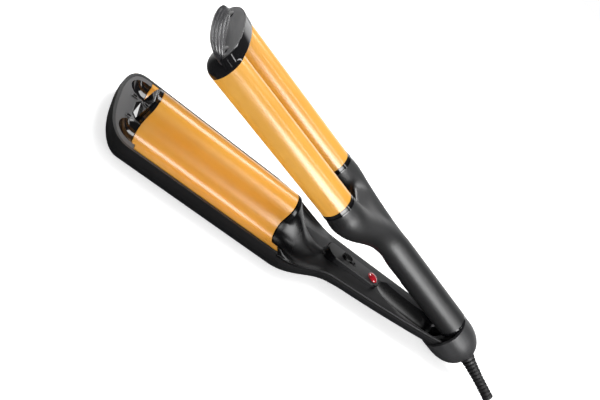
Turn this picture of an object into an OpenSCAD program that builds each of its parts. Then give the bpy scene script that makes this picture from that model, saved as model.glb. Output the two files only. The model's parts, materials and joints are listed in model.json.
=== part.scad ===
// Hair waver with two barrels over a wave plate: two heated barrels on a sprung upper arm close into
// the two troughs of a wave-shaped plate on the lower arm.
// Lengths are in millimetres. The arms are drawn in the hinge frame: the hinge
// axis is the Y axis, +X runs to the cord end, the closed arms lie along X.
// The object stands on the lower arm's back, with the upper arm sprung open.

/* [Barrels] */
// Outer diameter of a heated barrel
barrel_d = 22; // [19:0.5:24]
// Length of the bare heated barrel
barrel_len = 113.3; // [90:0.1:120]
// Distance between the two barrel axes
barrel_pitch = 44.6; // [43:0.2:46]
// Wall of the barrel tube
barrel_wall = 1.4; // [1:0.1:2]

/* [Wave plate] */
// Length of the wave plate
plate_len = 110.6; // [90:0.2:111]
// Width over the plate's flanges
plate_w = 73; // [70:0.5:73]
// Room between a nested barrel and its trough
nest_gap = 1.0; // [0.6:0.1:1.2]
// Height of the ridge's crest above the hinge axis
ridge_top = 14; // [12:0.5:14]
// Thickness of the plate's sheet
plate_t = 1.2; // [0.8:0.1:1.5]

/* [Arms] */
// Angle between the arms at rest, in degrees
open_angle = 13; // [10:0.5:15]
// Height of the hinge axis above the lower arm's back
hinge_h = 22; // [21.5:0.1:24]
// Half the width of the lower arm's head
head_half_w = 39.4; // [38.8:0.1:41]
// Wall of the moulded shells
wall = 2; // [1.6:0.1:2]
// Radius of the round upper handle
handle_r = 11.6; // [10.5:0.1:12]
// Height of the upper handle's axis above the hinge axis
handle_z = 5.5; // [5:0.1:6]

/* [Switch] */
// Length of the raised switch platform
panel_len = 50; // [46:1:52]
// Width of the raised switch platform
panel_w = 15; // [13:0.5:15.5]
// Travel of the slide switch
switch_travel = 4; // [3:0.5:5]

/* [Cord end] */
// Length of the strain relief outside the cap
boot_len = 38; // [34:1:40]
// Sideways lean of the strain relief, in degrees
boot_lean = 33; // [15:1:36]
// Number of ribs round the strain relief
boot_ribs = 11; // [8:1:12]

/* [Hidden] */
$fn = 48;
e = 0.01;
big = 200;

// stations along the arms
plate_front = -282;
plate_rear = plate_front + plate_len;
barrel_front = -281.3;
barrel_rear = barrel_front + barrel_len;
half_pitch = barrel_pitch / 2;
barrel_r = barrel_d / 2;
barrel_z = 1;
trough_r = barrel_r + nest_gap;
ridge_r = half_pitch - trough_r;
ridge_z = ridge_top - ridge_r;
flange_z = -5.4;

// lower arm's outline
nose_x = -284;
nose_reach = 17.9;
nose_power = 0.78;
floor_z = -hinge_h;
rim_step_x = plate_rear + 0.5;
rim_drop = 1.7;
cap_front = -10;
tail_gap = 0.8;

// upper arm's housing
collar_len = 3.6;
fork_front = barrel_rear + collar_len;
merge_x = -105;
arm_r = 12.3;
flat_z = -3.6;
split_z = -0.6;
clearance = 0.8;

// rear cap and cord
cap_z = -1.5;
cap_half_w = 16.3;
cap_stretch = 1.9;
cap_round_x = 0;
cap_end_x = 25;
cap_cut_x = 23.6;
cap_wall = 2.3;
ball_r = 7.6;
ball_x = 14.4;
ball_z = 1.1;
boot_r1 = 5.7;
boot_r2 = 4.1;
boot_edge = 1;
cord_bore_r = 3;
pin_r = 2.5;

// place of the row frame's origin: the middle of the object's length at rest
nose_tip = nose_x - nose_reach;
lean_x = cos(boot_lean) * cos(open_angle);
boot_start = 8;
boot_tip_run = boot_start + boot_len - boot_edge;
boot_tip = ball_x * cos(open_angle) + ball_z * sin(open_angle) + boot_tip_run * lean_x;
tail_tip = boot_tip + (boot_r2 - boot_edge) * sqrt(1 - lean_x * lean_x) + boot_edge;
origin_x = -(nose_tip + tail_tip) / 2;

function clamp01(u) = min(max(u, 0), 1);
function ease(u) = let (k = clamp01(u)) k * k * (3 - 2 * k);
function mix(a, b, u) = a + (b - a) * u;
function reversed(row) = [for (i = [len(row) - 1 : -1 : 0]) row[i]];

// half the width of the lower arm at x
function handle_w(x) = 13.3 + 7.4 * pow(max(0, (-x - 12) / 100), 0.55);
function half_w(x) = mix(head_half_w, handle_w(x), ease((x + 167) / 49));
// inner face of the lower arm at x: flat behind the plate, rising slightly to the tail
function deck_z(x) = -5.7 + 4.2 * pow(max(0, (x + 130) / 115), 1.4);
function rim_z(x) = x < rim_step_x ? flange_z : deck_z(x) - rim_drop;
// underside of the lower arm at x, and the radius of its long edges
function under_z(x) = floor_z + 6.8 * ease((x + 145) / 42) + 2.2 * ease((x + 100) / 90);
function edge_r(x) = deck_z(x) - rim_drop - 0.5 - under_z(x);
// the tail's end stands parallel to the cap's front while the arms are open
function tail_x(z) = (cap_front - tail_gap + z * sin(open_angle)) / cos(open_angle);

// Plan stations of the lower arm, from the nose tip to the tail
nose_steps = 9;
body_x = [-262, -230, -200, rim_step_x - 0.2, rim_step_x + 0.2, -164, -157, -150, -143, -136,
          -129, -122, -112, -100, -85, -68, -50, -34, -22];

// one side of a horizontal ring: [x, half width], pulled in by inset
function ring_side(inset, z, nose_inset) = concat(
    [for (i = [0 : nose_steps])
        let (a = 90 - i * 90 / nose_steps)
        [nose_x - (nose_reach - nose_inset) * pow(sin(a), nose_power),
         (head_half_w - inset) * pow(max(cos(a), 0), nose_power)]],
    [for (x = body_x) [x, half_w(x) - inset]],
    [[tail_x(z), half_w(tail_x(z)) - inset]]);

module lower_place() {
    translate([origin_x, 0, hinge_h]) children();
}

module upper_place() {
    translate([origin_x, 0, hinge_h]) rotate([0, open_angle, 0]) children();
}

// a profile drawn as (y, z), run along X from x0 to x1
module along_x(x0, x1) {
    translate([x0, 0, 0]) rotate([90, 0, 90]) linear_extrude(x1 - x0) children();
}

// a profile drawn as (x, z), run across Y from y0 to y1
module across_y(y0, y1) {
    translate([0, y1, 0]) rotate([90, 0, 0]) linear_extrude(y1 - y0) children();
}

// a profile drawn as (radius, x), turned about the X axis
module turned_x() {
    rotate([0, 90, 0]) rotate_extrude() children();
}

module rod_x(x0, x1, r) {
    translate([x0, 0, 0]) rotate([0, 90, 0]) cylinder(h = x1 - x0, r = r);
}

module rod_y(y0, y1, r) {
    translate([0, y0, 0]) rotate([-90, 0, 0]) cylinder(h = y1 - y0, r = r);
}

module block(low, high) {
    translate(low) cube(high - low);
}

module both_sides() {
    children();
    mirror([0, 1, 0]) children();
}

// ---- Lower arm ----

// one level of the shell's skin: lift 0 is the rim, lift 1..n walk round the long edge
edge_steps = 6;
function skin_ring(level, t) = let (
        a = level == 0 ? 0 : (level - 1) * 90 / edge_steps,
        half = ring_side(0, 0, 0),
        n = len(half))
    [for (i = [0 : n - 1])
        let (x0 = i <= nose_steps ? nose_x : half[i][0],
             r = edge_r(x0) - t,
             z = level == 0 ? rim_z(x0) : under_z(x0) + t + r * (1 - sin(a)),
             inset = t + (level == 0 ? 0 : r * (1 - cos(a))),
             side = ring_side(inset, z, inset),
             end = i == n - 1 ? tail_x(z) - t : side[i][0])
        [end, side[i][1], z]];

// closed ring: far side tail to nose, then near side nose to tail
function closed_ring(side) = let (n = len(side)) concat(
    [for (i = [n - 1 : -1 : 0]) [side[i][0], side[i][1], side[i][2]]],
    [for (i = [1 : n - 1]) [side[i][0], -side[i][1], side[i][2]]]);

function strip(a, b, n) = [for (i = [0 : n - 1]) each
    [[a + i, b + i, b + (i + 1) % n], [a + i, b + (i + 1) % n, a + (i + 1) % n]]];

// flat lid over a closed ring, from pairs of points across the middle line
function lid(first, n, up) = let (m = (n - 1) / 2) [for (i = [0 : m - 1]) each
    let (a = first + i, b = first + i + 1, c = first + n - 2 - i, d = first + n - 1 - i)
    i == m - 1 ? (up ? [[a, b, d]] : [[a, d, b]])
               : (up ? [[a, b, c], [a, c, d]] : [[a, c, b], [a, d, c]])];

module shell_skin(t) {
    levels = [for (k = [edge_steps + 1 : -1 : 0]) closed_ring(skin_ring(k, 0))];
    inner = [for (k = [0 : edge_steps + 1]) closed_ring(skin_ring(k, t))];
    rings = concat(levels, inner);
    n = len(rings[0]);
    count = len(rings);
    points = [for (r = rings) each r];
    faces = concat(
        lid(0, n, true),
        [for (k = [0 : count - 2]) each strip(k * n, (k + 1) * n, n)],
        lid((count - 1) * n, n, false));
    polyhedron(points, faces);
}

screw_x = [-284, -160, -64];
screw_head_r = 2.7;
function boss_top(x) = under_z(x) + 4;

module shell_bosses() {
    for (x = screw_x)
        translate([x, 0, under_z(x) + 1]) cylinder(h = 3, r = 4.2);
}

module shell_bores() {
    for (x = screw_x) {
        translate([x, 0, under_z(x) - 1]) cylinder(h = 4, r = 3.1);
        translate([x, 0, under_z(x)]) cylinder(h = 6, r = 1.7);
    }
}

// post above a screw boss, reaching up to z1
module screw_post(x, z1) {
    translate([x, 0, boss_top(x) + 0.1]) cylinder(h = z1 - boss_top(x) - 0.1, r = 3.4);
}

module screw_pilot(x) {
    translate([x, 0, boss_top(x) - 1]) cylinder(h = 4.4, r = 1.45);
}

module lower_shell() {
    lower_place() color("#1d1d1f") difference() {
        union() {
            shell_skin(wall);
            shell_bosses();
            // moulded pip under the handle
            translate([-45, -6, under_z(-45) - 1]) cylinder(h = 2.5, r = 1.6);
        }
        shell_bores();
        // way of the hinge bracket and the deck's tail through the end wall
        block([-23, -8.15, -10.9], [0, 8.15, 0]);
        block([-23, -9.8, -8.4], [0, 9.8, 0]);
        block([-23, -11.2, -6.2], [0, 11.2, 0]);
    }
}

// the plate's surface as a solid (y, z) profile, sunk by o
module wave_section(o) {
    difference() {
        union() {
            translate([-plate_w / 2, -30]) square([plate_w, 30 + flange_z - o]);
            translate([-half_pitch, -30]) square([2 * half_pitch, 30 + barrel_z]);
            translate([-(ridge_r - o), -30]) square([2 * (ridge_r - o), 30 + ridge_z]);
            translate([0, ridge_z]) circle(ridge_r - o);
        }
        for (s = [-1, 1]) translate([s * half_pitch, barrel_z]) circle(trough_r + o);
    }
}

module wave_plate() {
    lower_place() color("#e2a33c") along_x(plate_front, plate_rear) difference() {
        wave_section(0);
        translate([0, -e]) wave_section(plate_t);
        translate([-big, -big - 13]) square([2 * big, big]);
    }
}

frame_z = -19.6;

module plate_frame() {
    lower_place() color("#2b2724") difference() {
        union() {
            for (x = [plate_front + 1, plate_rear - 4])
                along_x(x, x + 3) intersection() {
                    wave_section(plate_t + 0.05);
                    translate([-33.5, -16]) square([67, 40]);
                }
            both_sides()
                block([plate_front + 1, 33.2, -10], [plate_rear - 1, 36.2, flange_z - plate_t - 0.05]);
        }
        // notch for the leads
        for (x = [plate_front, plate_rear - 5])
            along_x(x, x + 6) translate([-5, -17]) square([10, 12]);
    }
}

saddle_x0 = -270;
saddle_x1 = -184;

module heater_saddles() {
    lower_place() color("silver") both_sides() along_x(saddle_x0, saddle_x1) difference() {
        translate([half_pitch - 9, -15.4]) square([18, 7]);
        translate([half_pitch, barrel_z]) circle(trough_r + plate_t + 0.05);
        translate([half_pitch - 6, -15.5]) square([12, 1.9]);
    }
}

module plate_heaters() {
    lower_place() color("white") both_sides() {
        block([saddle_x0 + 4, half_pitch - 5.8, -16.2], [saddle_x1 - 4, half_pitch + 5.8, -13.7]);
        block([saddle_x1 - 4, half_pitch - 3, -15.6], [saddle_x1 + 2, half_pitch - 1.6, -14.4]);
        block([saddle_x1 - 4, half_pitch + 1.6, -15.6], [saddle_x1 + 2, half_pitch + 3, -14.4]);
    }
}

module thermal_cutout() {
    lower_place() color("#c9c4b8") {
        translate([-228, 0, 3.4]) rod_x(0, 16, 2.6);
        translate([-228, 0, 3.4]) rod_x(-9, 0, 0.6);
        translate([-212, 0, 3.4]) rod_x(0, 9, 0.6);
    }
}

// outline of the nose, inset from the shell's outside
module nose_plan(inset) {
    side = [for (i = [0 : 2 * nose_steps])
        let (a = 90 - i * 45 / nose_steps)
        [nose_x - (nose_reach - inset) * pow(sin(a), nose_power),
         (head_half_w - inset) * pow(max(cos(a), 0), nose_power)]];
    tail = [[plate_front - 0.3, head_half_w - inset]];
    near = concat(side, tail);
    polygon(concat(near, [for (i = [len(near) - 1 : -1 : 1]) [near[i][0], -near[i][1]]]));
}

nest_x = -284.9;

// two round-ended cavities, one for each barrel's tip
module nose_nests(r, x1) {
    both_sides() translate([0, half_pitch, barrel_z]) turned_x() intersection() {
        union() {
            translate([0, nest_x]) circle(r);
            translate([0, nest_x]) square([r, x1 - nest_x]);
        }
        translate([0, nest_x - 2 * r]) square([2 * r, 4 * r]);
    }
}

latch_x = -291;
latch_y = 11.2;

module nose_deck() {
    lower_place() color("#4a4a4c") difference() {
        union() {
            intersection() {
                translate([0, 0, flange_z - 2.2]) linear_extrude(2) nose_plan(wall + 0.15);
                block([-big * 2, -big, -20], [plate_front - 0.3, big, 0]);
            }
            intersection() {
                nose_nests(trough_r + 0.4 + 1.6, plate_front - 0.3);
                block([-big * 2, -big, -13.2], [plate_front - 0.3, big, flange_z - 1]);
            }
            screw_post(screw_x[0], -6.5);
            both_sides() block([latch_x - 2.2, latch_y - 1.8, -7], [latch_x + 2.2, latch_y + 1.8, flange_z + 0.4]);
        }
        nose_nests(trough_r + 0.4, plate_front);
        both_sides() block([latch_x - 1.4, latch_y - 1, -9], [latch_x + 1.4, latch_y + 1, 0]);
        screw_pilot(screw_x[0]);
    }
}

// level at which the ridge's end stands on the nose deck
ridge_foot = flange_z - 0.15;

module ridge_face(r) {
    intersection() {
        union() {
            translate([0, ridge_top - 0.2 - r]) circle(r);
            translate([-r, ridge_foot]) square([2 * r, ridge_top - 0.2 - r - ridge_foot]);
        }
        translate([-r - 1, ridge_foot]) square([2 * r + 2, ridge_top - ridge_foot]);
    }
}

module ridge_nose() {
    lower_place() color("#0c0c0d") difference() {
        union() {
            // band beside the plate, a narrower lip and the face that leans back from the deck
            along_x(-284.2, plate_front - 0.15) ridge_face(ridge_r + 0.4);
            along_x(-284.8, -284) ridge_face(ridge_r - 1.4);
            intersection() {
                along_x(-288, -284) ridge_face(ridge_r - 2.2);
                across_y(-12, 12) polygon([[-284, ridge_foot], [-286.4, ridge_foot], [-285, 10], [-284, 10]]);
            }
            translate([0, 0, ridge_foot]) linear_extrude(0.5) polygon([
                [-284, -10.4], [-286, -10.4], [-289.4, -5.6], [-289.4, 5.6], [-286, 10.4], [-284, 10.4]]);
        }
        nose_nests(trough_r + 0.4, plate_front + 1);
    }
}

// ---- The neck and handle's inner face ----

// path of a fork arm: sideways place, height and radius at x
turn_x = -158;
function arm_y(x) = half_pitch * (1 - ease((x - turn_x) / (merge_x - turn_x)));
function arm_z(x) = mix(barrel_z, handle_z, ease((x + 147) / (merge_x + 147)));
function arm_rad(x) = mix(mix(barrel_r + 0.2, arm_r, ease((x - fork_front) / 11)), handle_r - 0.1, ease((x + 138) / 33));
// lowest level of the fork's underside at x
function sole_z(x) = mix(-11.6, flat_z, ease((x + 150) / 43));

// level that the closed fork needs in the deck at (x, y)
function saddle_z(x, y) = let (
        r = arm_rad(x) + clearance,
        d = abs(y) - arm_y(x),
        reach = r * r - d * d)
    reach > 0 ? max(arm_z(x) - sqrt(reach), sole_z(x) - clearance) : big;
// hollow bed along the handle: its lip curves back from the middle to the sides
function bed_z(x, y, w) = let (
        h = w - 2.4,
        s = x + 77 - 30 * y * y / 300,
        depth = 6.4 * pow(clamp01(s / 60), 0.75))
    deck_z(x) - depth * max(0, 1 - pow(abs(y) / h, 4));

// the deck's cross-section at the plate, as [y, z] from the middle outwards
wave_points = concat(
    [for (a = [12 : 25 : 87]) [ridge_r * sin(a), ridge_z + ridge_r * cos(a)]],
    [for (b = [24 : 20 : 144]) [half_pitch - trough_r * cos(b), barrel_z - trough_r * sin(b)]],
    [[34.2, flange_z]]);
deck_stations = concat([for (k = [0 : 11]) rim_step_x + 0.4 + k * 4.1],
                       [-120, -108, -94, -82, -75, -69, -62, -54, -44, -30]);
deck_t = 2;

function deck_row(x) = let (
        u = ease((x - plate_rear - 1) / 30),
        w = half_w(x),
        s = (w - 4.6) / 34.2)
    concat(
        [for (p = wave_points)
            let (y = p[0] * s, nest = saddle_z(x, y))
            [y, min(mix(p[1], min(deck_z(x), nest, bed_z(x, y, w)), u), nest)]],
        [[w - 1.1, mix(flange_z, deck_z(x), u)], [w, mix(flange_z, deck_z(x), u) - 0.8]]);

// closed section: the face from side to side, then the underside back again
function deck_section(x) = let (
        row = deck_row(x),
        w = half_w(x),
        lip_z = deck_z(x) - rim_drop + 0.35,
        face = concat([for (i = [len(row) - 1 : -1 : 0]) [-row[i][0], row[i][1]]], row),
        under = [for (i = [len(face) - 3 : -1 : 2])
            let (t = face[i + 1] - face[i - 1], u = t / norm(t))
            face[i] - deck_t * [-u[1], u[0]]])
    reversed(concat(face, [[w, lip_z], [w - 2.3, lip_z - 0.15]], under, [[2.3 - w, lip_z - 0.15], [-w, lip_z]]));

function deck_ring(x) = [for (p = deck_section(x)) [x, p[0], p[1]]];
function tail_ring() = [for (p = deck_section(-13)) [tail_x(p[1]), p[0], p[1]]];

module loft(rings) {
    n = len(rings[0]);
    last = len(rings) - 1;
    points = [for (r = rings) each r];
    faces = concat([[for (i = [0 : n - 1]) i], [for (i = [n - 1 : -1 : 0]) last * n + i]],
        [for (k = [0 : last - 1]) each strip(k * n, (k + 1) * n, n)]);
    polyhedron(points, faces);
}

module deck_skin() {
    loft(concat([for (x = deck_stations) deck_ring(x)], [tail_ring()]));
}

ear_in = 4.8;
ear_out = 8;
ear_r = 6.2;

panel_x0 = -128;
panel_x1 = panel_x0 + panel_len;
panel_mid = (panel_x0 + panel_x1) / 2;
panel_top = -1.4;

// capsule outline of the switch platform, shrunk by o
module panel_plan(o) {
    r = panel_w / 2;
    translate([panel_x0 + r, 0]) circle(r - o);
    translate([panel_x1 - r, 0]) circle(r - o);
    translate([panel_x0 + r, -r + o]) square([panel_len - 2 * r, panel_w - 2 * o]);
}

module neck_deck() {
    lower_place() color("#2c2c2e") difference() {
        union() {
            deck_skin();
            screw_post(screw_x[1], 4);
            screw_post(screw_x[2], -7);
        }
        // seat of the switch platform
        block([panel_x0 + 3.2, -5.2, -20], [panel_x1 - 3.2, 5.2, 20]);
        block([panel_x0 + 1.2, -3.6, -20], [panel_x0 + 4, 3.6, 20]);
        for (x = [screw_x[1], screw_x[2]]) screw_pilot(x);
    }
}

// two ears on a foot that lies inside the lower arm's tail
module hinge_bracket() {
    lower_place() color("#2f2f31") difference() {
        union() {
            both_sides() across_y(ear_in, ear_out) union() {
                circle(ear_r);
                polygon([[-12.2, -10.85], [-12.2, -7.6], [-4.6, 3.2], [2.4, -3.6], [-4, -8.9], [-6, -10.85]]);
            }
            block([-22, -ear_out, -10.85], [-11.4, ear_out, -10.15]);
        }
        rod_y(-20, 20, pin_r + 0.02);
    }
}

module pin_clips() {
    lower_place() color("#8d8d92") both_sides() translate([0, 12.3, 0]) difference() {
        rod_y(0, 0.6, 4.2);
        rod_y(-1, 2, pin_r - 0.42);
        block([0, -1, -1], [6, 2, 1]);
    }
}

knob_x = -110.5;
knob_len = 8;
lens_x = -84.5;
lens_r = 3.5;

// room below the neck's face along the platform, seen from the side
module below_face() {
    across_y(-20, 20) polygon(concat(
        [for (x = deck_stations) if (x > panel_x0 - 6 && x < panel_x1 + 6)
            [x, min(deck_z(x), sole_z(x) - clearance) + 0.05]],
        [[panel_x1 + 6, -30], [panel_x0 - 6, -30]]));
}

module switch_panel() {
    lower_place() color("#29292b") difference() {
        union() {
            difference() {
                union() {
                    translate([0, 0, -5.7]) linear_extrude(panel_top + 5) panel_plan(0);
                    translate([0, 0, panel_top - 0.7]) linear_extrude(0.7) panel_plan(0.7);
                    intersection() {
                        translate([0, 0, -9]) linear_extrude(4) panel_plan(0);
                        block([panel_x0 + 1.25, -big, -9], [panel_mid, big, 0]);
                    }
                }
                below_face();
            }
            block([panel_x0 + 3.4, -5, -8.6], [panel_x1 - 3.4, 5, -4]);
        }
        // slot of the slide switch
        block([knob_x - 1.5, -1.3, -12], [knob_x + 1.5 + switch_travel, 1.3, 0]);
        block([knob_x - 2.6, -2.4, panel_top - 0.6], [knob_x + 3.4 + switch_travel + 1.4, 2.4, 0]);
        // seat of the lens
        translate([lens_x, 0, -12]) cylinder(h = 12, r = 2.6);
        translate([lens_x, 0, panel_top - 0.8]) cylinder(h = 2, r = lens_r + 0.15);
        // relief from below
        block([-123, -5.2, -12], [-98, 5.2, -6.4]);
        block([-90, -4.4, -12], [-80, 4.4, -6.4]);
    }
}

module switch_knob() {
    lower_place() color("#101011") translate([knob_x, 0, 0]) {
        difference() {
            translate([0, 0, panel_top + 0.15]) linear_extrude(2) hull() {
                translate([-knob_len / 2 + 2.6, 0]) circle(3);
                translate([knob_len / 2 - 3, 0]) circle(2.9);
            }
            for (x = [-2.4 : 1.6 : 2.4])
                block([x - 0.3, -4, panel_top + 1.6], [x + 0.3, 4, panel_top + 3]);
        }
        block([-1, -1, -8], [1, 1, panel_top + 0.5]);
    }
}

module switch_body() {
    lower_place() color("#3a3f3c") difference() {
        block([knob_x - 8, -3.8, -10.8], [knob_x + 11, 3.8, -6.7]);
        block([knob_x - 1.5, -1.5, -8.8], [knob_x + 1.5 + switch_travel, 1.5, -6]);
    }
}

module circuit_board() {
    lower_place() color("#2c6b45") {
        block([-129, -8.5, -12.4], [-77, 8.5, -10.85]);
        block([-97, -5, -10.9], [-92, -1, -9.4]);
        block([-92, 2, -10.9], [-88.5, 5.5, -9.8]);
    }
}

module indicator_lamp() {
    lower_place() color("#f2f2f2") translate([lens_x, 0, 0]) {
        translate([0, 0, -10.8]) cylinder(h = 1, r = 1.9);
        translate([0, 0, -10.5]) cylinder(h = 5.5, r = 1.5);
        translate([0, 0, -5]) sphere(1.5);
    }
}

module indicator_lens() {
    lower_place() color("#e3141f") translate([lens_x, 0, 0]) {
        translate([0, 0, panel_top - 0.75]) cylinder(h = 0.95, r = lens_r);
        intersection() {
            translate([0, 0, panel_top + 1.5 - 5.2]) sphere(5.2);
            translate([0, 0, panel_top]) cylinder(h = 3, r = lens_r);
        }
        difference() {
            translate([0, 0, panel_top - 2.4]) cylinder(h = 2, r = 2.5);
            translate([0, 0, panel_top - 3]) cylinder(h = 2, r = 1.8);
        }
    }
}

module shell_screws() {
    lower_place() color("#9a9aa0") for (x = screw_x)
        translate([x, 0, under_z(x)]) difference() {
            union() {
                translate([0, 0, 1.3]) cylinder(h = 1.7, r = screw_head_r);
                translate([0, 0, 2.5]) cylinder(h = 4.7, r = 1.4);
            }
            block([-2, -0.4, 0], [2, 0.4, 2]);
            block([-0.4, -2, 0], [0.4, 2, 2]);
        }
}

module hinge_pin() {
    lower_place() color("#b9b9be") union() {
        rod_y(-13.2, 13.2, pin_r - 0.45);
        rod_y(-12.25, 12.25, pin_r);
    }
}

spring_turns = 700 / 360;
spring_wire = 1;
spring_pitch = 1.45;
spring_r = 4.6;
spring_y = 8.75;
spring_leg = 9;
spring_steps = 36;
spring_sides = 8;

// the coil's middle line, wound round the hinge axis, with a straight leg at each end
function spring_at(k) = let (
        c = min(max(k, 0), spring_steps),
        a = 200 + c * spring_turns * 360 / spring_steps,
        leg = (k - c) * spring_leg)
    [spring_r * cos(a) - leg * sin(a), spring_y + c * spring_turns * spring_pitch / spring_steps,
     spring_r * sin(a) + leg * cos(a)];
function spring_ring(k) = let (
        at = spring_at(k),
        a = 200 + min(max(k, 0), spring_steps) * spring_turns * 360 / spring_steps)
    [for (j = [0 : spring_sides - 1]) let (b = j * 360 / spring_sides)
        at + spring_wire / 2 * [cos(b) * cos(a), sin(b), cos(b) * sin(a)]];

module return_spring() {
    lower_place() color("#c3c3c8") loft([for (k = [-1 : spring_steps + 1]) spring_ring(k)]);
}

// ---- Upper arm ----

module barrel(side) {
    translate([0, side * half_pitch, barrel_z]) difference() {
        rod_x(barrel_front, barrel_rear, barrel_r);
        rod_x(barrel_front - 1, barrel_rear + 1, barrel_r - barrel_wall);
        // small vent slot at the rear of the crown
        block([barrel_rear - 5, 1.2, barrel_r - 2], [barrel_rear - 2, 2.2, barrel_r + 1]);
    }
}

module barrel_near() {
    upper_place() color("#eaa944") barrel(-1);
}

module barrel_far() {
    upper_place() color("#eaa944") barrel(1);
}

module barrel_heaters() {
    upper_place() color("white") both_sides() translate([0, half_pitch, barrel_z]) {
        block([barrel_front + 14, -5, -1.5], [barrel_rear - 16, 5, 1.5]);
        block([barrel_rear - 16, -2.5, -0.5], [barrel_rear - 9, -1.5, 0.5]);
        block([barrel_rear - 16, 1.5, -0.5], [barrel_rear - 9, 2.5, 0.5]);
    }
}

// two aluminium half-rounds press each ceramic strip against the tube
module heater_springs() {
    r = barrel_r - barrel_wall - 0.05;
    upper_place() color("silver") both_sides() translate([0, half_pitch, barrel_z]) {
        along_x(barrel_front + 12, barrel_rear - 16) for (s = [0, 1]) mirror([0, s]) difference() {
            circle(r);
            circle(r - 1.6);
            translate([-r, -2 * r]) square([2 * r, 2 * r + 1.6]);
        }
        along_x(barrel_front + 12, barrel_rear - 16) for (s = [0, 1]) mirror([0, s])
            translate([-6.5, 1.55]) square([13, 1.3]);
        along_x(barrel_front + 12, barrel_rear - 16) for (s = [0, 1]) mirror([0, s])
            translate([-0.8, 2.8]) square([1.6, r - 4.2]);
    }
}

module barrel_collars() {
    upper_place() color("#141416") both_sides() translate([0, half_pitch, barrel_z]) difference() {
        union() {
            rod_x(barrel_rear + 0.1, fork_front - 1.2, barrel_r + 0.2);
            rod_x(fork_front - 1.4, fork_front - 0.6, barrel_r - 0.5);
            rod_x(fork_front - 0.8, fork_front - 0.05, barrel_r + 0.45);
        }
        rod_x(barrel_rear - 1, fork_front + 1, barrel_r - barrel_wall - 0.1);
    }
}

arm_stations = [0, 3, 7, 12, 17, 22, 27, 32, 37, 42, 47, 52, 56, 58.4];
hollow_stations = [0, 8, 16, 24, 32, 40, 46, 50];
bridge_x = [-153, -150.5, -148, -145, -142, -138, -133, -128, -122, -114];
handle_end = -13;

function arm_ring(x, t, n) = [for (j = [0 : n - 1]) let (b = j * 360 / n)
    [x, arm_y(x) + (arm_rad(x) - t) * cos(b), max(arm_z(x) + (arm_rad(x) - t) * sin(b), sole_z(x) + t)]];

// web that joins the two arms behind the crotch, dished a little in the middle
function bridge_ring(x) = let (
        u = ease((x + 154) / 12),
        y = arm_y(x),
        z = arm_z(x),
        top = mix(6.4, 0.94 * arm_rad(x), u),
        low = mix(5, -2, u))
    [[x, -y, z + top], [x, -y, z + low], [x, y, z + low], [x, y, z + top],
     [x, y / 2, z + top - 0.9 * u], [x, 0, z + top - 1.3 * u], [x, -y / 2, z + top - 0.9 * u]];

// the flat-soled round handle from the merge to x1, shrunk by t
module handle_rod(x0, x1, t) {
    along_x(x0, x1) intersection() {
        translate([0, handle_z]) circle(handle_r - t);
        translate([-20, flat_z + t]) square([40, 40]);
    }
}

module housing_form() {
    difference() {
        union() {
            both_sides() loft([for (s = arm_stations) arm_ring(fork_front + s, 0, 28)]);
            loft([for (x = bridge_x) bridge_ring(x)]);
            handle_rod(-107.6, handle_end, 0);
            both_sides() translate([0, half_pitch, barrel_z])
                rod_x(barrel_rear - 9, fork_front + 1, barrel_r - barrel_wall - 0.15);
        }
        // pocket that takes the switch platform
        block([panel_x0 - 4, -panel_w / 2 - 0.9, -20], [panel_x1 + 5, panel_w / 2 + 0.9, 2]);
        // hollow inside of the arms and the handle, where the heater leads run
        both_sides() loft([for (s = hollow_stations) arm_ring(fork_front + 2 + s, 2.4, 16)]);
        handle_rod(-114.5, -32, 3);
        both_sides() translate([0, half_pitch, barrel_z]) rod_x(barrel_rear - 10, fork_front + 4, 5);
        // socket of the hinge block
        block([handle_end - 16, -4.3, -0.3], [1, 4.3, 9.3]);
    }
}

module fork_shell() {
    upper_place() color("#232325") intersection() {
        housing_form();
        block([-big, -60, split_z], [10, 60, 60]);
    }
}

fork_screw_x = [-60, -32];

module fork_underside() {
    upper_place() color("#232325") difference() {
        intersection() {
            housing_form();
            block([-big, -60, -60], [10, 60, split_z - 0.05]);
        }
        for (x = fork_screw_x) translate([x, 0, -10]) {
            cylinder(h = 20, r = 1.3);
            cylinder(h = 10 + flat_z + 1.7, r = 2.6);
        }
    }
}

module fork_screws() {
    upper_place() color("#9a9aa0") for (x = fork_screw_x) translate([x, 0, flat_z + 0.3]) difference() {
        union() {
            cylinder(h = 1.3, r = 2.4);
            cylinder(h = 2.6, r = 1.2);
        }
        block([-1.8, -0.35, -1], [1.8, 0.35, 0.6]);
        block([-0.35, -1.8, -1], [0.35, 1.8, 0.6]);
    }
}

// ---- Cool tip ----

tip_x = -297.4;
ledge_root = -289.4;
ledge_half = 33.4;
ledge_steps = 4;
ledge_step = 1.75;
ledge_rise = 1.35;
ledge_top = 0.9;
hood_bottom = -4.4;
hood_rear = -281.6;
hood_fall = 18;
arch_half = 34.2;
arch_foot = 3;
arch_rise = 14;

// plan of step k of the finger ledge: a bow, a little narrower at each step
module ledge_plan(k) {
    half = ledge_half - 0.9 * k;
    reach = ledge_root - tip_x - ledge_step * k;
    polygon(concat(
        [for (i = [-15 : 15]) let (y = half * sin(i * 6))
            [ledge_root - reach * sqrt(max(0, 1 - pow(y / half, 2))), y]],
        [[ledge_root + 2, half], [ledge_root + 2, -half]]));
}

module dome() {
    turned_x() union() {
        square([barrel_r, 1.2]);
        intersection() {
            translate([2, 1.2]) circle(9);
            square([12, 20]);
        }
        square([2, 10.2]);
    }
}

// the hood's outline, as (y, z)
module arch_plan() {
    polygon(concat(
        [for (i = [-12 : 12]) let (y = arch_half * sin(i * 7.5))
            [y, arch_foot + arch_rise * sqrt(max(0, 1 - pow(abs(y) / arch_half, 3)))]],
        [[arch_half, arch_foot - 2], [-arch_half, arch_foot - 2]]));
}

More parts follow.
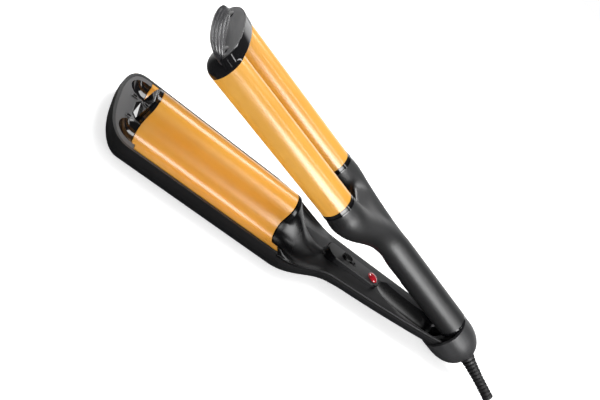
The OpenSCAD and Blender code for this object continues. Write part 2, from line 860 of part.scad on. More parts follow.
module nose_cap() {
    upper_place() color("#1a1a1c") difference() {
        union() {
            both_sides() translate([barrel_front, half_pitch, barrel_z]) {
                mirror([1, 0, 0]) dome();
                rod_x(-0.5, 8, barrel_r - barrel_wall - 0.1);
            }
            // stepped finger ledge, thinning towards the tip
            intersection() {
                for (k = [0 : ledge_steps - 1])
                    translate([0, 0, hood_bottom]) linear_extrude(ledge_top - hood_bottom + ledge_rise * k)
                        ledge_plan(k);
                across_y(-ledge_half, ledge_half) polygon([
                    [tip_x - 1, -0.5], [ledge_root - 1, hood_bottom + 0.1], [ledge_root + 3, hood_bottom + 0.1],
                    [ledge_root + 3, 8], [tip_x - 1, 8]]);
            }
            // hood: its front leans back, its roof falls towards the barrels
            intersection() {
                across_y(-arch_half - 1, arch_half + 1) polygon([
                    [ledge_root - 1.2, 2.4], [ledge_root + 0.6, 20], [hood_rear, 20], [hood_rear, 2.4]]);
                translate([ledge_root, 0, arch_foot + arch_rise]) rotate([0, hood_fall, 0])
                    translate([-ledge_root, 0, -arch_foot - arch_rise]) along_x(-310, -260) arch_plan();
            }
        }
        // way for the ridge between the barrels
        along_x(-286.9, -270) union() {
            translate([0, ridge_z]) circle(ridge_r + 0.7);
            translate([-ridge_r - 0.7, -20]) square([2 * ridge_r + 1.4, 20 + ridge_z]);
        }
    }
}

// ---- Cord end ----

module handle_ring() {
    upper_place() color("#58585c") difference() {
        translate([0, 0, handle_z]) rod_x(handle_end + 0.05, cap_front - 0.3, handle_r);
        block([-20, -20, -20], [0, 20, flat_z]);
        block([-20, -4.4, -4], [0, 4.4, 9.4]);
    }
}

module hinge_block() {
    upper_place() color("#3b3b3e") difference() {
        union() {
            rod_y(-4.4, 4.4, 6.4);
            block([handle_end - 14, -4.2, -0.2], [2, 4.2, 6.2]);
        }
        rod_y(-10, 10, pin_r + 0.06);
    }
}

// one half of the cap's outline as (radius, x), shrunk by o
function cap_profile(o) = concat(
    [[0, cap_front - 5], [cap_half_w - o, cap_front - 5]],
    [for (a = [0 : 6 : 90]) [(cap_half_w - o) * pow(cos(a), 0.9), cap_round_x + (cap_end_x - o - cap_round_x) * pow(sin(a), 0.9)]]);

// the domed form, stretched a little in height
module cap_form(o) {
    translate([0, 0, cap_z]) {
        for (s = [-1, 1]) translate([0, 0, s * cap_stretch]) turned_x() polygon(cap_profile(o));
        translate([0, 0, -cap_stretch]) linear_extrude(2 * cap_stretch)
            rotate(-90) union() {
                polygon(cap_profile(o));
                mirror([1, 0]) polygon(cap_profile(o));
            }
    }
}

module rear_cap() {
    upper_place() color("#343438") difference() {
        intersection() {
            cap_form(0);
            block([cap_front, -30, -30], [cap_cut_x, 30, 30]);
        }
        intersection() {
            cap_form(cap_wall);
            block([cap_front - 8, -30, -30], [6.4, 30, 30]);
        }
        translate([0, 0, ball_z]) {
            turned_x() intersection() {
                union() {
                    translate([0, ball_x]) circle(ball_r + 0.15);
                    translate([0, 5]) square([ball_r + 0.15, ball_x - 5]);
                    translate([0, 5]) square([9.5, 4.2]);
                }
                square([20, 40]);
            }
            // mouth that the strain relief turns in
            translate([ball_x, 0, 0]) rotate([0, 0, -boot_lean]) rod_x(0, 30, boot_r1 + 0.4);
        }
        // the ring's tongue and the block's root
        block([cap_front - 1, -4.5, -0.5], [0, 4.5, 9.6]);
    }
}

module swivel_retainer() {
    upper_place() color("#77777c") translate([0, 0, ball_z]) difference() {
        rod_x(6.6, 9, 9.4);
        rod_x(5, 12, 5.8);
    }
}

module swivel_place() {
    upper_place() translate([ball_x, 0, ball_z]) rotate([0, 0, -boot_lean]) children();
}

module cord_swivel() {
    swivel_place() color("#2a2a2d") difference() {
        union() {
            sphere(ball_r);
            rod_x(0, boot_start + 3, boot_r1 - 0.4);
        }
        rod_x(-10, 20, cord_bore_r + 0.2);
    }
}

rib_pitch = 2.9;

// outline of the strain relief as (radius, x) with raised ribs towards its tip
module boot_outline() {
    x0 = boot_start;
    x1 = boot_start + boot_len;
    rib_x0 = x1 - boot_ribs * rib_pitch - 1.5;
    difference() {
        union() {
            polygon([[0, x0], [boot_r1, x0], [boot_r1, x0 + 3], [boot_r1 - 0.9, x0 + 8],
                     [boot_r2, x1 - 18], [boot_r2, x1 - boot_edge], [boot_r2 - boot_edge, x1], [0, x1]]);
            translate([boot_r2 - boot_edge, x1 - boot_edge]) circle(boot_edge, $fn = 24);
        }
        for (k = [0 : boot_ribs - 1]) {
            x = rib_x0 + k * rib_pitch;
            r = mix(boot_r1 - 0.9, boot_r2, clamp01((x - x0 - 8) / (boot_len - 26)));
            translate([r - 0.55, x]) square([2, 1.2]);
        }
    }
}

module strain_relief() {
    swivel_place() color("#222224") difference() {
        turned_x() boot_outline();
        rod_x(0, boot_start + 3.1, boot_r1 - 0.35);
        rod_x(0, boot_start + boot_len + 1, cord_bore_r);
    }
}

lower_shell();
nose_deck();
ridge_nose();
wave_plate();
plate_frame();
heater_saddles();
plate_heaters();
thermal_cutout();
neck_deck();
hinge_bracket();
switch_panel();
switch_knob();
switch_body();
circuit_board();
indicator_lens();
indicator_lamp();
shell_screws();
hinge_pin();
pin_clips();
return_spring();
barrel_near();
barrel_far();
barrel_heaters();
heater_springs();
barrel_collars();
fork_shell();
fork_underside();
fork_screws();
nose_cap();
handle_ring();
hinge_block();
rear_cap();
swivel_retainer();
cord_swivel();
strain_relief();
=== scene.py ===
"""Dresses a packed hair waver: moulded shells, ceramic coats, switch, cord end, floor, light and camera.

The arms are described in millimetres from the hinge axis, with the closed arms along X.
"""

import json
import math

import bmesh
import bpy
import numpy as np
from mathutils import Matrix, Vector


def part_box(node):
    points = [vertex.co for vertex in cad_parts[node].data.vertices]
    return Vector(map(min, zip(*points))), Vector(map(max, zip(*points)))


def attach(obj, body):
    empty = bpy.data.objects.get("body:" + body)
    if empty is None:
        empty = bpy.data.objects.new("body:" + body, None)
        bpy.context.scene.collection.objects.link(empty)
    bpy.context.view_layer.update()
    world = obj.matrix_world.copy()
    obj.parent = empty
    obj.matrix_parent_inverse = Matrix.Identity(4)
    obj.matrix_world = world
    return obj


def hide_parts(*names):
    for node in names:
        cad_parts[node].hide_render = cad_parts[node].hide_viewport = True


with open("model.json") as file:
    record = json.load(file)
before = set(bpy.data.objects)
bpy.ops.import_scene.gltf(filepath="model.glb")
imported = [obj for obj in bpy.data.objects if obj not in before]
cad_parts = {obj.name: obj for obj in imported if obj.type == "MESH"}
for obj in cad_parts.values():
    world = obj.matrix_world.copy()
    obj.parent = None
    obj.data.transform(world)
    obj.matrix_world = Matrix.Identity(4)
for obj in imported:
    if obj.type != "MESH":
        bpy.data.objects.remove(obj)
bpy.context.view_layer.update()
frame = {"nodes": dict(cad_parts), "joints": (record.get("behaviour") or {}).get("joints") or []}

bl_info = {
    "name": "Hair Waver",
    "version": (1, 0, 0),
    "blender": (4, 5, 0),
    "location": "View3D > Sidebar > Hair Waver",
    "description": "Builds the shells, finishes and studio of a hinged hair waver",
    "category": "Object",
}

MM = 0.001

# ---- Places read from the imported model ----

JOINTS = {joint["name"]: joint for joint in frame["joints"]}
HINGE = Vector(JOINTS["arm_hinge"]["pos_m"])
OPEN_ANGLE = math.radians(JOINTS["arm_hinge"]["range_deg"][1])
OPENED = Matrix.Rotation(OPEN_ANGLE, 3, "Y")


def lower(x, y, z):
    """A point of the lower arm."""
    return HINGE + Vector((x, y, z)) * MM


def upper(x, y, z):
    """A point of the upper arm, raised with it from the closed place."""
    return HINGE + OPENED @ Vector((x, y, z)) * MM


def middle(node):
    """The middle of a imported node's box."""
    low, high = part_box(node)
    return (low + high) / 2


# ---- Sizes, in millimetres from the hinge axis ----

# Heated parts
BARREL_R = 11
BARREL_Z = 1
BARREL_FRONT = -281.3
HALF_PITCH = 22.3
TROUGH_R = 12
RIDGE_R = HALF_PITCH - TROUGH_R
RIDGE_TOP = 14
RIDGE_Z = RIDGE_TOP - RIDGE_R
FLANGE_Z = -5.4
FLANGE_HALF_W = 34.2
PLATE_REAR = -171.4

# Lower arm's outline
NOSE_X = -284
NOSE_REACH = 17.9
NOSE_POWER = 0.78
HEAD_HALF_W = 39.4
NECK_X = -167
NECK_LENGTH = 49
TAIL_X = -12
TAIL_HALF_W = 13.3
HANDLE_SPREAD = 7.4
SPREAD_LENGTH = 100
CAP_FRONT = -10
TAIL_GAP = 0.8

# Lower arm's levels
FLOOR_Z = -22
BACK_STEP = 6.8
BACK_STEP_X = -145
BACK_STEP_LENGTH = 42
BACK_SLOPE = 2.2
BACK_SLOPE_X = -100
BACK_SLOPE_LENGTH = 90
DECK_Z = -5.7
DECK_CLIMB = 4.2
DECK_CLIMB_X = -130
DECK_CLIMB_LENGTH = 115
RIM_STEP_X = PLATE_REAR + 0.5
RIM_DROP = 1.7
RIM_BAND = 0.5
WALL = 2
BED_X = -77
BED_CURVE = 0.1
BED_DEPTH = 6.4
BED_RUN = 60
EDGE_ROUND = ((1.1, 0), (0.55, 0.1), (0.16, 0.36), (0, 0.8))
LIP = 0.35
FACE_WALL = 2
FACE_REAR = -13
RUN_OUT = 30
PANEL_TOP = -1.4
SCREW_X = (-284, -160, -64)
SCREW_WELL_R = 3.1
SCREW_WELL_DEPTH = 3.4
CAP_ROOM = ((8.15, -10.9), (9.8, -8.4), (11.2, -6.2))
CAP_ROOM_X = -23
PANEL_ROOM = ((-124.8, -5.2, -20), (-81.2, 5.2, 20))
LATCH_ROOM = ((-126.8, -3.6, -20), (-124, 3.6, 20))

# Upper arm's housing
FORK_FRONT = -164.4
TURN_X = -158
MERGE_X = -105
ARM_R = 12.3
ARM_RISE_X = -147
FLARE_LENGTH = 11
SLIM_X = -138
SLIM_LENGTH = 33
SOLE_Z = -11.6
SOLE_X = -150
SOLE_LENGTH = 43
HANDLE_R = 11.6
HANDLE_Z = 5.5
HANDLE_FRONT = -104
GRIP_START = -107.6
HANDLE_END = -13
FLAT_Z = -3.6
CLEARANCE = 0.8
WEB_X = -154
WEB_LENGTH = 12
WEB_ENDS = (-153, -114)
SWITCH_ROOM = ((-132, -8.4, -20), (-73, 8.4, 2))

# Cool tip
TIP_X = -297.9
DOME_ROUND = 9
DOME_BAND = 1.2
LEDGE_ROOT = -289.4
LEDGE_HALF = 32.6
LEDGE_TOP = 0.9
LEDGE_LIFT = 2.6
HOOD_REAR = -281.6
HOOD_FALL = math.tan(math.radians(6))
HOOD_LEAN = 1.8 / 17.6
HOOD_SETBACK = 1.2
HOOD_FLOOR = -3.6
HOOD_FLOOR_RISE = 6.6
RIDGE_GAP = 0.7
RIDGE_WAY = (-286.9, -270)
ARCH_HALF = 32.8
ARCH_FOOT = 3
ARCH_RISE = 14
ARCH_POWER = 2.2
FACE_SHARE = 0.93

# Camera, from the hinge axis
CAMERA_SPOT = (-391.9, -414.7, 243.3)
CAMERA_RIGHT = (0.719, 0.0, 0.695)
CAMERA_FORWARD = (0.425, 0.791, -0.439)
SENSOR_WIDTH = 36

# Too small to see: keeps the ends of turned outlines off their axis
TINY = 0.0001


def clamp(u):
    return min(max(u, 0), 1)


def ease(u):
    k = clamp(u)
    return k * k * (3 - 2 * k)


def mix(a, b, u):
    return a + (b - a) * u


def steps(first, last, count):
    """count + 1 even values from first to last."""
    return [mix(first, last, i / count) for i in range(count + 1)]


def handle_w(x):
    """Half the width of the lower handle, widest at the neck."""
    return TAIL_HALF_W + HANDLE_SPREAD * max(0, (TAIL_X - x) / SPREAD_LENGTH) ** 0.55


def half_w(x):
    """Half the width of the lower arm."""
    return mix(HEAD_HALF_W, handle_w(x), ease((x - NECK_X) / NECK_LENGTH))


def deck_z(x):
    """Level of the lower arm's inner face behind the plate."""
    return DECK_Z + DECK_CLIMB * max(0, (x - DECK_CLIMB_X) / DECK_CLIMB_LENGTH) ** 1.4


def rim_z(x):
    """Level of the lower shell's rim."""
    return FLANGE_Z if x < RIM_STEP_X else deck_z(x) - RIM_DROP


def under_z(x):
    """Level of the lower arm's back."""
    step = BACK_STEP * ease((x - BACK_STEP_X) / BACK_STEP_LENGTH)
    slope = BACK_SLOPE * ease((x - BACK_SLOPE_X) / BACK_SLOPE_LENGTH)
    return FLOOR_Z + step + slope


def edge_r(x):
    """Radius of the lower shell's long edge, under an upright band below the rim."""
    return deck_z(x) - RIM_DROP - RIM_BAND - under_z(x)


def tail_x(z):
    """Lower arm's rear end, cut along the rear cap that leans with the open upper arm."""
    return (CAP_FRONT - TAIL_GAP + z * math.sin(OPEN_ANGLE)) / math.cos(OPEN_ANGLE)


def arm_y(x):
    """Sideways place of a fork arm's middle line."""
    return HALF_PITCH * (1 - ease((x - TURN_X) / (MERGE_X - TURN_X)))


def arm_z(x):
    """Level of a fork arm's middle line."""
    return mix(BARREL_Z, HANDLE_Z, ease((x - ARM_RISE_X) / (MERGE_X - ARM_RISE_X)))


def arm_rad(x):
    """Radius of a fork arm, from the barrel's end to the handle."""
    flare = mix(BARREL_R + 0.2, ARM_R, ease((x - FORK_FRONT) / FLARE_LENGTH))
    return mix(flare, HANDLE_R - 0.1, ease((x - SLIM_X) / SLIM_LENGTH))


def sole_z(x):
    """Lowest level of the fork's underside."""
    return mix(SOLE_Z, FLAT_Z, ease((x - SOLE_X) / SOLE_LENGTH))


def arch_z(y):
    """Height of the hood's outline over its foot."""
    return ARCH_RISE * math.sqrt(max(0, 1 - (abs(y) / ARCH_HALF) ** ARCH_POWER))


# ---- Meshes ----

SHARP_ANGLE = math.radians(35)


def shown(name, data):
    """A new object in the scene."""
    obj = bpy.data.objects.new(name, data)
    bpy.context.scene.collection.objects.link(obj)
    return obj


def new_piece(name, mesh, body, finish, nodes):
    """Shows a mesh as a piece of the object: its body and the nodes it stands for."""
    mesh.polygons.foreach_set("use_smooth", [True] * len(mesh.polygons))
    mesh.set_sharp_from_angle(angle=SHARP_ANGLE)
    mesh.materials.append(finish)
    piece = shown(name, mesh)
    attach(piece, body)
    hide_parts(*nodes)


def mesh_from(name, points, faces):
    """A mesh with its faces turned outwards."""
    mesh = bpy.data.meshes.new(name)
    mesh.from_pydata([tuple(p) for p in points], [], faces)
    bm = bmesh.new()
    bm.from_mesh(mesh)
    bmesh.ops.recalc_face_normals(bm, faces=bm.faces)
    bm.to_mesh(mesh)
    bm.free()
    return mesh


def loft(rings, closed_ends=True):
    """Points and faces of a skin through closed rings of equal length."""
    n = len(rings[0])
    points = [p for ring in rings for p in ring]
    faces = []
    for k in range(len(rings) - 1):
        for i in range(n):
            j = (i + 1) % n
            faces.append((k * n + i, (k + 1) * n + i, (k + 1) * n + j, k * n + j))
    if closed_ends:
        last = (len(rings) - 1) * n
        faces.append(tuple(range(n)))
        faces.append(tuple(last + i for i in reversed(range(n))))
    return points, faces


def turned(profile, place, count=64):
    """Points and faces of a (along, radius) profile turned about an axis by place(along, y, z)."""
    rings = []
    for i in range(count):
        a = math.tau * i / count
        rings.append([place(s, r * math.cos(a), r * math.sin(a)) for s, r in profile])
    n = len(profile)
    points = [p for ring in rings for p in ring]
    faces = []
    for k in range(count):
        m = (k + 1) % count
        for i in range(n - 1):
            faces.append((k * n + i, k * n + i + 1, m * n + i + 1, m * n + i))
    return points, faces


def joined(*parts):
    """Several sets of points and faces as one."""
    points, faces = [], []
    for part_points, part_faces in parts:
        base = len(points)
        points += part_points
        faces += [tuple(base + i for i in face) for face in part_faces]
    return points, faces


def slab(low, high, place):
    """Points and faces of a box between two corners."""
    corners = [
        place(x, y, z)
        for x in (low[0], high[0])
        for y in (low[1], high[1])
        for z in (low[2], high[2])
    ]
    faces = [(0, 1, 3, 2), (4, 6, 7, 5), (0, 4, 5, 1), (2, 3, 7, 6), (0, 2, 6, 4), (1, 5, 7, 3)]
    return corners, faces


def merged(mesh):
    """Joins points that lie on each other."""
    bm = bmesh.new()
    bm.from_mesh(mesh)
    bmesh.ops.remove_doubles(bm, verts=bm.verts, dist=0.01 * MM)
    bmesh.ops.recalc_face_normals(bm, faces=bm.faces)
    bm.to_mesh(mesh)
    bm.free()


def baked(obj, name):
    """The object's mesh with its modifiers applied; the object itself is removed."""
    graph = bpy.context.evaluated_depsgraph_get()
    graph.update()
    mesh = bpy.data.meshes.new_from_object(obj.evaluated_get(graph))
    mesh.name = name
    old = obj.data
    bpy.data.objects.remove(obj)
    bpy.data.meshes.remove(old)
    return mesh


def cut(mesh, *rooms):
    """The mesh with rooms taken out of it; each room is a pair of points and faces."""
    obj = shown("work", mesh)
    tools = []
    for room in rooms:
        tool = shown("tool", mesh_from("tool", *room))
        tools.append(tool)
        modifier = obj.modifiers.new("cut", "BOOLEAN")
        modifier.operation = "DIFFERENCE"
        modifier.solver = "EXACT"
        modifier.object = tool
    result = baked(obj, mesh.name)
    for tool in tools:
        bpy.data.objects.remove(tool)
    return result


def melted(name, parts, voxel, passes):
    """One smooth skin round several closed parts."""
    obj = shown(name, mesh_from(name, *joined(*parts)))
    remesh = obj.modifiers.new("melt", "REMESH")
    remesh.mode = "VOXEL"
    remesh.voxel_size = voxel * MM
    soften = obj.modifiers.new("soften", "SMOOTH")
    soften.factor = 0.5
    soften.iterations = passes
    return baked(obj, name)


def relaxed(mesh, passes, weight, only_down=False):
    """Smooths the mesh as strongly as weight, from 0 to 1, says for each point."""
    count = len(mesh.vertices)
    spots = np.empty(count * 3)
    mesh.vertices.foreach_get("co", spots)
    spots = spots.reshape(-1, 3)
    edges = np.empty(len(mesh.edges) * 2, dtype=int)
    mesh.edges.foreach_get("vertices", edges)
    first, second = edges.reshape(-1, 2).T
    near = np.bincount(edges, minlength=count)[:, None]
    share = 0.5 * np.array([weight(p) for p in spots])[:, None]
    for _ in range(passes):
        total = np.empty_like(spots)
        for k in range(3):
            total[:, k] = np.bincount(first, spots[second, k], count)
            total[:, k] += np.bincount(second, spots[first, k], count)
        moved = spots + share * (total / near - spots)
        if only_down:
            moved[:, 2] = np.minimum(moved[:, 2], spots[:, 2])
        spots = moved
    mesh.vertices.foreach_set("co", spots.ravel())
    mesh.update()


def softened(mesh, width, segments=3, angle=30):
    """The mesh with its sharp edges rounded."""
    obj = shown("work", mesh)
    bevel = obj.modifiers.new("round", "BEVEL")
    bevel.width = width * MM
    bevel.segments = segments
    bevel.limit_method = "ANGLE"
    bevel.angle_limit = math.radians(angle)
    return baked(obj, mesh.name)


# ---- Finishes ----


class Wire:
    """A shader value that can be used in Python arithmetic."""

    def __init__(self, graph, socket):
        self.graph = graph
        self.socket = socket

    def _maths(self, operation, *values):
        node = self.graph.add("ShaderNodeMath", {"operation": operation}, dict(enumerate(values)))
        return Wire(self.graph, node.outputs[0])

    def __add__(self, other):
        return self._maths("ADD", self, other)

    def __radd__(self, other):
        return self._maths("ADD", other, self)

    def __sub__(self, other):
        return self._maths("SUBTRACT", self, other)

    def __rsub__(self, other):
        return self._maths("SUBTRACT", other, self)

    def __mul__(self, other):
        return self._maths("MULTIPLY", self, other)

    def __rmul__(self, other):
        return self._maths("MULTIPLY", other, self)

    def __truediv__(self, other):
        return self._maths("DIVIDE", self, other)

    def __abs__(self):
        return self._maths("ABSOLUTE", self)

    def between(self, low, high):
        """0 below low, 1 above high and smooth between them."""
        node = self.graph.add(
            "ShaderNodeMapRange",
            {"interpolation_type": "SMOOTHSTEP"},
            {"Value": self, "From Min": low, "From Max": high},
        )
        return Wire(self.graph, node.outputs[0])


class Graph:
    """A node tree that is filled from Python."""

    def __init__(self, tree):
        self.tree = tree
        tree.nodes.clear()

    def add(self, kind, settings=None, sockets=None):
        """Adds a node. Its settings are set first, then its sockets' values or links."""
        node = self.tree.nodes.new(kind)
        for key, value in (settings or {}).items():
            setattr(node, key, value)
        for key, value in (sockets or {}).items():
            if isinstance(value, Wire):
                self.tree.links.new(value.socket, node.inputs[key])
            else:
                node.inputs[key].default_value = value
        return node

    def wire(self, node, output=0):
        """One of a node's outputs."""
        return Wire(self, node.outputs[output])

    def split(self, vector):
        """The three numbers of a vector."""
        node = self.add("ShaderNodeSeparateXYZ", None, {0: vector})
        return [self.wire(node, k) for k in range(3)]


class Finish(Graph):
    """A material made of nodes."""

    def __init__(self, name):
        self.material = bpy.data.materials.new(name)
        self.material.use_nodes = True
        super().__init__(self.material.node_tree)
        self._place = None

    def place(self):
        """The surface point in the row frame, in metres."""
        if self._place is None:
            self._place = self.wire(self.add("ShaderNodeTexCoord"), "Object")
        return self._place

    def axis(self, letter):
        """One coordinate of the surface point, in millimetres."""
        return self.split(self.place())["XYZ".index(letter)] / MM

    def noise(self, per_mm, detail=3.0, rough=0.55, stretch=(1, 1, 1)):
        """Noise from 0 to 1 with about per_mm grains in a millimetre."""
        scaled = self.add(
            "ShaderNodeVectorMath",
            {"operation": "MULTIPLY"},
            {0: self.place(), 1: [k * per_mm / MM for k in stretch]},
        )
        node = self.add(
            "ShaderNodeTexNoise",
            None,
            {"Vector": self.wire(scaled), "Scale": 1.0, "Detail": detail, "Roughness": rough},
        )
        return self.wire(node)

    def blend(self, factor, first, second):
        """A colour between two colours."""
        node = self.add(
            "ShaderNodeMix",
            {"data_type": "RGBA"},
            {"Factor": factor, "A": first, "B": second},
        )
        return self.wire(node, "Result")

    def bump(self, height, distance, strength):
        """A normal from a height of 0 to 1 that stands for distance in millimetres."""
        sockets = {"Height": height, "Distance": distance * MM, "Strength": strength}
        return self.wire(self.add("ShaderNodeBump", None, sockets))

    def surface(self, **sockets):
        """Ends the material with one shader; a name such as base_color fills Base Color."""
        named = {
            " ".join("IOR" if word == "ior" else word.capitalize() for word in key.split("_")): value
            for key, value in sockets.items()
        }
        shader = self.add("ShaderNodeBsdfPrincipled", None, named)
        self.add("ShaderNodeOutputMaterial", None, {"Surface": self.wire(shader)})
        return self.material


def solid(colour, gain=1.0):
    """A colour as a socket takes it, lightened or darkened by gain."""
    return (colour[0] * gain, colour[1] * gain, colour[2] * gain, 1.0)


def grey(level):
    """A neutral colour."""
    return (level, level, level, 1.0)


def moulded(name, colour, roughness, grain=0.012, dust=0.25):
    """Spark-textured moulded plastic: fine grain, uneven sheen and paler rubbed places."""
    f = Finish(name)
    cloud = f.noise(0.03, 4)
    fine = f.noise(2.2, 2)
    rubbed = cloud.between(0.52, 0.75) * dust
    return f.surface(
        base_color=f.blend(rubbed + fine * 0.1, solid(colour), solid(colour, 1.35)),
        roughness=roughness + (cloud - 0.5) * 0.12 + (fine - 0.5) * 0.08,
        normal=f.bump(f.noise(5.0, 2), grain, 0.6),
        ior=1.5,
    )


def satin_and_gloss(f, satin, satin_colours, gloss_colour, roughness, grain, **more):
    """Plastic that is satin where the mask is 1 and polished where it is 0."""
    cloud, fine = f.noise(0.05, 4), f.noise(2.2, 2)
    tint = f.blend(fine * 0.3 + cloud * 0.3, *satin_colours)
    smooth, rough = roughness
    return f.surface(
        base_color=f.blend(satin, gloss_colour, tint),
        roughness=smooth + satin * (rough - smooth) + (cloud - 0.5) * 0.06,
        normal=f.bump(f.noise(5.0, 2) * satin, *grain),
        ior=1.5,
        **more,
    )


def two_tone(name, upper_colour, lower_colour, level):
    """Satin plastic above a level of the lower arm, and gloss below it."""
    f = Finish(name)
    satin = (f.axis("Z") - HINGE.z / MM).between(level - 0.1, level + 0.1)
    tints = solid(upper_colour), solid(upper_colour, 1.3)
    return satin_and_gloss(f, satin, tints, solid(lower_colour), (0.08, 0.42), (0.006, 0.6))


def polished(name, colour, roughness=0.08):
    """Gloss plastic with a soft moulded ripple and a few dull smudges."""
    f = Finish(name)
    smudge = f.noise(0.06, 5, 0.6).between(0.55, 0.8)
    specks = f.noise(3.0, 2).between(0.68, 0.75)
    return f.surface(
        base_color=f.blend(specks * 0.4, solid(colour), solid(colour, 2.2)),
        roughness=roughness + smudge * 0.1 + specks * 0.15,
        normal=f.bump(f.noise(0.12, 2), 0.02, 0.5),
        ior=1.52,
    )


def ceramic(name, colour, deep):
    """Ceramic coat on metal: warm body, fine glitter and faint draw lines along the arm."""
    f = Finish(name)
    cloud = f.noise(0.04, 3)
    fleck = f.noise(6.0, 1).between(0.62, 0.7)
    lines = f.noise(1.6, 2, 0.5, (0.02, 1, 1))
    tint = f.blend(cloud.between(0.35, 0.7) * 0.5 + lines * 0.12, solid(colour), solid(deep))
    tint = f.blend(fleck * 0.18, tint, solid(colour, 1.25))
    return f.surface(
        base_color=tint,
        roughness=0.3 + (lines - 0.5) * 0.1 + fleck * 0.05,
        coat_weight=0.35 + cloud * 0.1,
        coat_roughness=0.12,
        normal=f.bump(lines, 0.004, 0.5),
        ior=1.55,
    )


def machined(name, colour, roughness=0.3):
    """Bare metal with a fine tooled grain."""
    f = Finish(name)
    lines = f.noise(3.0, 3, 0.6)
    cloud = f.noise(0.2, 3)
    return f.surface(
        base_color=f.blend(cloud * 0.5, solid(colour), solid(colour, 0.8)),
        metallic=1.0,
        roughness=roughness + (lines - 0.5) * 0.2,
        normal=f.bump(lines, 0.006, 0.5),
    )


def rubbery(name, colour):
    """Soft rubber: matt, with a powdery bloom."""
    f = Finish(name)
    bloom = f.noise(0.25, 4).between(0.45, 0.75)
    return f.surface(
        base_color=f.blend(bloom * 0.35, solid(colour), solid(colour, 1.7)),
        roughness=0.42 + bloom * 0.15,
        normal=f.bump(f.noise(4.0, 2), 0.01, 0.5),
    )


def fired(name, colour):
    """Fired ceramic strip: matt and slightly mottled."""
    f = Finish(name)
    spots = f.noise(1.2, 3)
    return f.surface(
        base_color=f.blend(spots * 0.4, solid(colour), solid(colour, 0.82)),
        roughness=0.65 + spots * 0.1,
        normal=f.bump(spots, 0.01, 0.4),
    )


def circuit(name, colour):
    """Lacquered board with a weave and copper-coloured tracks under the lacquer."""
    f = Finish(name)
    weave = f.noise(1.5, 1, 0.5, (1, 0.2, 1))
    tracks = f.noise(0.5, 0, 0.5).between(0.5, 0.53)
    return f.surface(
        base_color=f.blend(tracks * 0.6, solid(colour), solid((0.32, 0.42, 0.16))),
        roughness=0.3 + weave * 0.15,
        coat_weight=0.4 + weave * 0.05,
        coat_roughness=0.1,
        normal=f.bump(weave, 0.01, 0.4),
    )


def lens_with_painted_glow(name, colour, crown, radius):
    """Tinted clear plastic, lighter at its crown: a painted highlight, with a faint painted glow of the
    same tint.
    """
    f = Finish(name)
    x = f.axis("X") - crown.x / MM
    y = f.axis("Y") - crown.y / MM
    # Painted highlight: the tint pales towards the crown.
    near = 1 - (x * x + y * y).between(0, radius * radius)
    swirl = f.noise(1.0, 2)
    tint = f.blend(near * 0.55 + swirl * 0.1, solid(colour, 0.75), solid(colour, 1.25))
    return f.surface(
        base_color=tint,
        roughness=0.12 + swirl * 0.06,
        coat_weight=0.6 + swirl * 0.1,
        coat_roughness=0.08,
        # Painted glow: the lens gives off a faint light in its own tint.
        emission_color=tint,
        emission_strength=0.12,
        normal=f.bump(swirl, 0.01, 0.3),
    )


# ---- Settings ----


def colour_property(name, description, default):
    """A colour that the panel shows."""
    return bpy.props.FloatVectorProperty(
        name=name, description=description, subtype="COLOR", size=3, min=0, max=1, default=default
    )


class WaverColours(bpy.types.PropertyGroup):
    """Colours of the finishes."""

    shell: colour_property("Shell", "Moulded back of the lower arm", (0.008, 0.008, 0.009))
    # The neck's satin grey is partly painted sheen, paler than the black gloss beside the plate.
    neck: colour_property("Neck", "Inner face of the lower arm", (0.016, 0.016, 0.017))
    housing: colour_property("Housing", "Upper arm's housing", (0.009, 0.009, 0.01))
    deck: colour_property("Nose deck", "Grey deck at the nose", (0.07, 0.07, 0.073))
    # The platform's grey top over black sides is partly two finishes and partly painted light: a lit top
    # against painted shade on the sides.
    panel: colour_property("Switch platform", "Top of the switch platform", (0.032, 0.032, 0.034))
    gloss: colour_property("Gloss", "Polished black parts", (0.006, 0.006, 0.007))
    hood: colour_property("Finger wall", "Satin face over the finger ledge", (0.05, 0.05, 0.053))
    # Paler than the tip's gloss black: painted light on the tread tops.
    ledge: colour_property("Ledge", "Treads of the finger ledge", (0.04, 0.04, 0.044))
    cap: colour_property("Cap", "Rear cap", (0.026, 0.026, 0.028))
    boot: colour_property("Boot", "Strain relief", (0.01, 0.01, 0.011))
    gold: colour_property("Ceramic", "Coat of the heated parts", (0.86, 0.43, 0.06))
    gold_deep: colour_property("Deep ceramic", "Darker clouds in the coat", (0.78, 0.35, 0.03))
    lens: colour_property("Lens", "Lamp's window", (0.8, 0.02, 0.04))


class WaverSizes(bpy.types.PropertyGroup):
    """Sizes of the small forms."""

    treads: bpy.props.IntProperty(
        name="Treads", description="Number of treads on the finger ledge", default=5, min=1, max=8
    )
    tread_depth: bpy.props.FloatProperty(
        name="Tread depth", description="Along the arm", default=0.00165, unit="LENGTH"
    )
    tread_rise: bpy.props.FloatProperty(
        name="Tread rise", description="From tread to tread", default=0.0011, unit="LENGTH"
    )
    lens_radius: bpy.props.FloatProperty(
        name="Lens radius", description="Of the lamp's window", default=0.0041, unit="LENGTH"
    )
    lens_rise: bpy.props.FloatProperty(
        name="Lens rise", description="Of the window's dome", default=0.0021, unit="LENGTH"
    )


